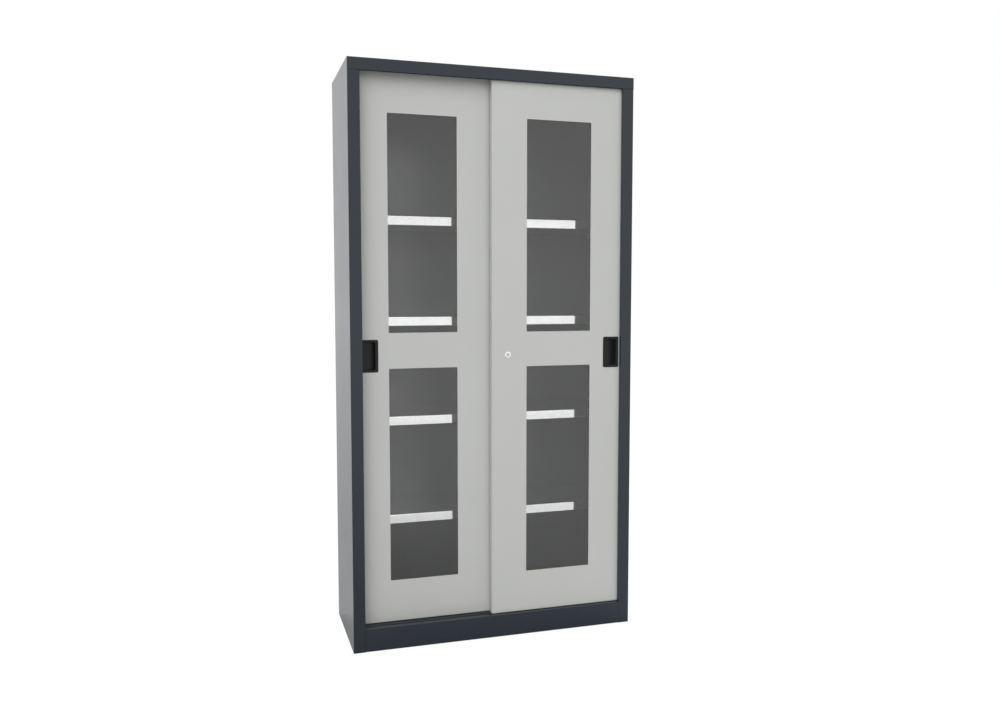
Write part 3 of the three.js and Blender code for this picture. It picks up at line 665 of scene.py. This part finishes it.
def turned(bm, profile, sides):
    """Turns a profile of (radius, place) points about an axis along y."""
    points = [bm.verts.new((radius, place, 0)) for radius, place in profile]
    edges = [bm.edges.new((a, b)) for a, b in zip(points, points[1:])]
    bmesh.ops.spin(
        bm, geom=points + edges, cent=(0, 0, 0), axis=(0, 1, 0), angle=FULL_TURN, steps=sides,
        use_merge=True, use_duplicate=False,
    )
    bmesh.ops.remove_doubles(bm, verts=bm.verts, dist=MERGE)
    bmesh.ops.recalc_face_normals(bm, faces=bm.faces)
    bm.normal_update()


def turned_piece(name, node, body, material, profile, sides, centre, rounding):
    """A turned piece in the place of a packed one, with its edges rounded."""
    bm = bmesh.new()
    turned(bm, profile, sides)
    round_over(bm, sharp_edges(bm, 30.0), rounding, segments=3)
    bmesh.ops.translate(bm, vec=centre, verts=bm.verts)
    made = settle(bm, name, material, body, MOULDED_SHARP)
    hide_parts(node)


def walled(bm, edges, place, shrink=1.0):
    """Draws a loop of edges out to a place along y, made smaller about the axis, and returns the new loop."""
    grown = bmesh.ops.extrude_edge_only(bm, edges=edges)["geom"]
    for vertex in [g for g in grown if isinstance(g, bmesh.types.BMVert)]:
        vertex.co = (vertex.co.x * shrink, place, vertex.co.z * shrink)
    return [g for g in grown if isinstance(g, bmesh.types.BMEdge)]


def lock_core(name, node, body, centre, material, keyway):
    """Plug of the lock: a turned core with the key slot let into its face, with painted shade inside."""
    bm = bmesh.new()
    half_step = Matrix.Rotation(FULL_TURN / KEY_SLOT_SIDES / 2, 4, "Z")
    slot_ring = bmesh.ops.create_circle(bm, segments=KEY_SLOT_SIDES, radius=KEY_SLOT.x / 2, matrix=half_step)
    for vertex in slot_ring["verts"]:
        vertex.co.y += math.copysign((KEY_SLOT.y - KEY_SLOT.x) / 2, vertex.co.y)
    slot_edges = list(bm.edges)
    bmesh.ops.create_circle(bm, segments=LOCK_SIDES, radius=PLUG)
    rim_edges = [e for e in bm.edges if e not in slot_edges]
    bmesh.ops.bridge_loops(bm, edges=slot_edges + rim_edges)
    lay_down = Matrix.Translation((0, PLUG_FRONT, 0)) @ Matrix.Rotation(FULL_TURN / 4, 4, "X")
    bmesh.ops.transform(bm, matrix=lay_down, verts=bm.verts)
    rear_edges = walled(bm, rim_edges, PLUG_REAR)
    stub_edges = walled(bm, rear_edges, PLUG_REAR, PLUG_STUB / PLUG)
    bmesh.ops.contextual_create(bm, geom=walled(bm, stub_edges, PLUG_END))
    bmesh.ops.contextual_create(bm, geom=walled(bm, slot_edges, PLUG_FRONT + KEY_SLOT_DEPTH))
    bmesh.ops.recalc_face_normals(bm, faces=bm.faces)
    bm.normal_update()
    round_over(bm, sharp_edges(bm, 50.0), PLUG_ROUNDING, segments=3)
    bmesh.ops.translate(bm, vec=centre, verts=bm.verts)
    made = settle(bm, name, material, body, MOULDED_SHARP)
    made.data.materials.append(keyway)
    for face in made.data.polygons:
        across = Vector((face.center.x - centre.x, face.center.z - centre.z)).length
        deep = face.center.y - centre.y - PLUG_FRONT
        if across < KEY_SLOT.y / 2 + KEYWAY_MARGIN and KEYWAY_START < deep < 2 * KEY_SLOT_DEPTH:
            face.material_index = 1
    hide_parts(node)


def seam_bead(name, x, front, low, high):
    """Upright weld bead in the joint of two sheets, painted over."""
    bm = bmesh.new()
    bmesh.ops.create_cone(
        bm, cap_ends=True, segments=BEAD_SIDES, radius1=BEAD, radius2=BEAD, depth=high - low,
        matrix=Matrix.Translation((x, front + BEAD_BACK, (low + high) / 2)),
    )
    round_over(bm, sharp_edges(bm, 60.0), BEAD_ROUNDING, segments=2)
    settle(bm, name, body_paint, "carcass")


# Casing, shelves and doors: folded sheet

cabinet_middle = (cad_low + cad_high) / 2
door_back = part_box("rear_door_panel")[1].y
for node in ("side_panel_right", "side_panel_left", "top_panel", "back_panel"):
    sheet = pressed_sheet(node, body_paint)
    finish_inside(sheet, inside_paint, cabinet_middle, door_back)
    if node == "top_panel":
        # The top's downward faces in front of the doors get the painted shade
        finish_underside(sheet, underside_shade_paint, door_back)
pressed_sheet("plinth", body_paint)
for node in ("bottom_track", "top_guide_rail"):
    pressed_sheet(node, track_paint)
for node in ("floor_panel", *(f"upright_{corner}" for corner in CORNERS)):
    pressed_sheet(node, inside_paint)
for number in range(1, SHELF_COUNT + 1):
    low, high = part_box(f"shelf_{number}")
    under = Vector((0, (low.y + high.y) / 2, low.z))
    # The faces inside the tray get the painted shade
    finish_inside(pressed_sheet(f"shelf_{number}", shelf_zinc), tray_painted_shade, under)
    for corner in CORNERS:
        pressed_sheet(f"shelf_{number}_clip_{corner}", gear_zinc)
for door in DOORS:
    pressed_sheet(f"{door}_panel", door_paint)
    for row in ("lower", "upper"):
        paint_node(f"{door}_glass_{row}", glass)
        pressed_sheet(f"{door}_glazing_frame_{row}", door_paint)
    for hand in HANDS:
        pressed_sheet(f"{door}_roller_bracket_{hand}", gear_zinc)
        paint_node(f"{door}_top_guide_{hand}", nylon)
paint_node("lock_cam", gear_zinc)

low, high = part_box("plinth")
seam_bead("plinth_seam_left", low.x - STILE_GAP, low.y, low.z + BEAD_END, high.z - BEAD_END)
seam_bead("plinth_seam_right", high.x + STILE_GAP, low.y, low.z + BEAD_END, high.z - BEAD_END)

# Pulls, lock and running gear

for door in DOORS:
    low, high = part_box(f"{door}_handle")
    middle = Vector(((low.x + high.x) / 2, low.y - RIM_FRONT, (low.z + high.z) / 2))
    moulded_pull(f"{door}_pull", f"{door}_handle", door, middle)

low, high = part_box("lock_housing")
lock_centre = Vector(((low.x + high.x) / 2, low.y - ROSETTE_FRONT, (low.z + high.z) / 2))
lock_plating = finish("lock_nickel", plating_group, {
    "Metal": NICKEL, "Centre": lock_centre, "Gloss": 0.16, "Stain": 0.06,
}, Metallic=1.0)
housing = [
    (BARREL_BORE, ROSETTE_FRONT),
    (ROSETTE_FLAT, ROSETTE_FRONT),
    *ROSETTE_SHOULDER,
    (ROSETTE, ROSETTE_SIDE),
    (ROSETTE, ROSETTE_BACK),
    (BARREL, ROSETTE_BACK),
    (BARREL, NUT_FRONT),
    (NUT, NUT_FRONT),
    (NUT, NUT_BACK),
    (BARREL, NUT_BACK),
    (BARREL, BARREL_END),
    (BARREL_BORE, BARREL_END),
    (BARREL_BORE, ROSETTE_FRONT),
]
turned_piece("lock_rosette", "lock_housing", "front_door", lock_plating, housing, LOCK_SIDES,
             lock_centre, ROSETTE_ROUNDING)
core_plating = finish("lock_core_nickel", plating_group, {
    "Metal": WORN_NICKEL, "Centre": lock_centre, "Gloss": 0.3, "Stain": 0.1,
}, Metallic=1.0)
# Painted shade on the key slot's walls and floor
keyway_shade = finish("keyway_shade", plating_group, {
    "Metal": KEYWAY_PAINTED_SHADE, "Centre": lock_centre, "Gloss": 0.5, "Stain": 0.3,
}, Metallic=1.0)
lock_core("lock_core", "lock_plug", "lock", lock_centre, core_plating, keyway_shade)

low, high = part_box("lock_keeper")
keeper_centre = Vector(((low.x + high.x) / 2, high.y, (low.z + high.z) / 2))
keeper_plating = finish("keeper_nickel", plating_group, {
    "Metal": NICKEL, "Centre": keeper_centre, "Gloss": 0.22, "Stain": 0.1,
}, Metallic=1.0)
stud_front = low.y - high.y
keeper = [
    (0, 0),
    (STUD_FLANGE, 0),
    (STUD_FLANGE, STUD_FLANGE_FRONT),
    (STUD, STUD_FLANGE_FRONT),
    (STUD, stud_front),
    (0, stud_front),
]
turned_piece("keeper_stud", "lock_keeper", "rear_door", keeper_plating, keeper, STUD_SIDES,
             keeper_centre, STUD_ROUNDING)

wheel_half = [
    (WHEEL_BORE, WHEEL_HUB_HALF),
    (WHEEL_HUB, WHEEL_HUB_HALF),
    (WHEEL_HUB, WHEEL_FACE_HALF),
    *((radius, WHEEL_WEB_HALF) for radius in WHEEL_WEB),
    *((radius, WHEEL_FACE_HALF) for radius in WHEEL_RIM),
    (WHEEL_TREAD, WHEEL_TREAD_HALF),
]
wheel_front = [(radius, -place) for radius, place in wheel_half]
wheel = [*wheel_front, *reversed(wheel_half), wheel_front[0]]
for door in DOORS:
    for hand in HANDS:
        node = f"{door}_roller_{hand}"
        low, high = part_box(node)
        turned_piece(f"{node}_wheel", node, node, nylon, wheel, WHEEL_SIDES,
                     (low + high) / 2, WHEEL_ROUNDING)


# Studio

def mirrored_ray(tree, ray):
    """One for rays that come by way of a glossy face or through glass."""
    return math_node(tree, "MAXIMUM", ray["Is Glossy Ray"], ray["Is Transmission Ray"])


def floor_paper():
    """White to the camera with a faint shadow; in mirrors, painted shade makes it darker near the cabinet and
    painted light makes it lighter far away, in front and to the right.
    """
    paper, tree = blank_material("floor_paper")
    ray = add(tree, "LightPath").outputs
    where = object_place(tree)
    place = add(tree, "SeparateXYZ", {0: where}).outputs
    painted_shade_centre = (0, 1.2, 0)
    fade_each_metre = 0.84
    fade_most = 0.72
    seen_share = 0.85
    paper_white = 1.1
    # Painted shade and light for mirrored rays: darker round the cabinet, lighter in front, to the right and
    # towards the horizon
    away = add(tree, "VectorMath", {0: where, 1: painted_shade_centre}, operation="DISTANCE").outputs["Value"]
    fade = math_node(tree, "MULTIPLY", math_node(tree, "POWER", fade_each_metre, away), fade_most)
    in_front = spread(tree, place["Y"], low=-2.2, high=-1.2, new_low=0.82, new_high=0.66)
    to_right = spread(tree, place["X"], low=0.1, high=1.0, new_high=0.2)
    horizon = spread(tree, away, low=8.0, high=50.0, new_high=0.18)
    near = math_node(tree, "ADD", in_front, to_right)
    tone = math_node(tree, "ADD", near, math_node(tree, "SUBTRACT", horizon, fade))
    seen = math_node(tree, "MULTIPLY", ray["Is Camera Ray"], seen_share)
    show = math_node(tree, "MAXIMUM", math_node(tree, "MULTIPLY", mirrored_ray(tree, ray), tone), seen)
    matt = add(tree, "BsdfDiffuse", {"Color": FLOOR_GREY})
    white = add(tree, "Emission", {"Color": WHITE, "Strength": paper_white})
    both = add(tree, "MixShader", {0: show, 1: matt.outputs[0], 2: white.outputs[0]})
    add(tree, "OutputMaterial", {"Surface": both.outputs[0]})
    return paper


def studio_floor():
    """A wide pale floor, just under the cabinet."""
    bm = bmesh.new()
    bmesh.ops.create_grid(bm, x_segments=2, y_segments=2, size=FLOOR_SIZE)
    bmesh.ops.translate(bm, vec=(0, 0, -FLOOR_DROP), verts=bm.verts)
    mesh = bpy.data.meshes.new("studio_floor")
    bm.to_mesh(mesh)
    bm.free()
    mesh.materials.append(floor_paper())
    floor = bpy.data.objects.new("studio_floor", mesh)
    bpy.context.scene.collection.objects.link(floor)
    floor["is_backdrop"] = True


def studio_surround(ambient):
    """White surroundings: plain white to the camera, brighter to the right in mirrors, softer as a light."""
    world = bpy.data.worlds.new("studio")
    bpy.context.scene.world = world
    world.use_nodes = True
    tree = world.node_tree
    tree.nodes.clear()
    ray = add(tree, "LightPath").outputs
    mirrored = mirrored_ray(tree, ray)
    seen = math_node(tree, "MAXIMUM", ray["Is Camera Ray"], mirrored)
    soft = add(tree, "Background", {"Color": WHITE, "Strength": ambient})
    to_right = add(tree, "SeparateXYZ", {0: add(tree, "TexCoord").outputs["Generated"]}).outputs["X"]
    extra = spread(tree, to_right, low=0.12, high=0.55, new_high=0.22)
    glow = math_node(tree, "MULTIPLY_ADD", extra, mirrored, 1.0)
    white = add(tree, "Background", {"Color": WHITE, "Strength": glow})
    both = add(tree, "MixShader", {0: seen, 1: soft.outputs[0], 2: white.outputs[0]})
    add(tree, "OutputWorld", {"Surface": both.outputs[0]})


def soft_light(name, turn, rise, width, strength):
    """Even light from far away: turned from straight in front towards the left, and raised, in degrees."""
    lamp = bpy.data.lights.new(name, "SUN")
    lamp.angle = math.radians(width)
    lamp.energy = strength
    made = bpy.data.objects.new(name, lamp)
    made.rotation_euler = (math.radians(90 - rise), 0, math.radians(-turn))
    made.visible_glossy = False
    bpy.context.scene.collection.objects.link(made)


studio_floor()
studio_surround(ambient=0.6)
soft_light("key_front_left", turn=20, rise=27, width=60, strength=1.58)
soft_light("fill_back_right", turn=205, rise=42, width=50, strength=1.6)
soft_light("side_left", turn=92, rise=12, width=30, strength=1.6)

camera = bpy.data.objects.new("camera", bpy.data.cameras.new("camera"))
camera.data.sensor_width = SENSOR
camera.data.lens = LENS
camera.location = CAMERA_PLACE
camera.rotation_euler = (math.radians(90 - CAMERA_DIP), 0, math.radians(-CAMERA_TURN))
bpy.context.scene.collection.objects.link(camera)
bpy.context.scene.camera = camera
bpy.context.scene.view_settings.view_transform = "Standard"

low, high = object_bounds()
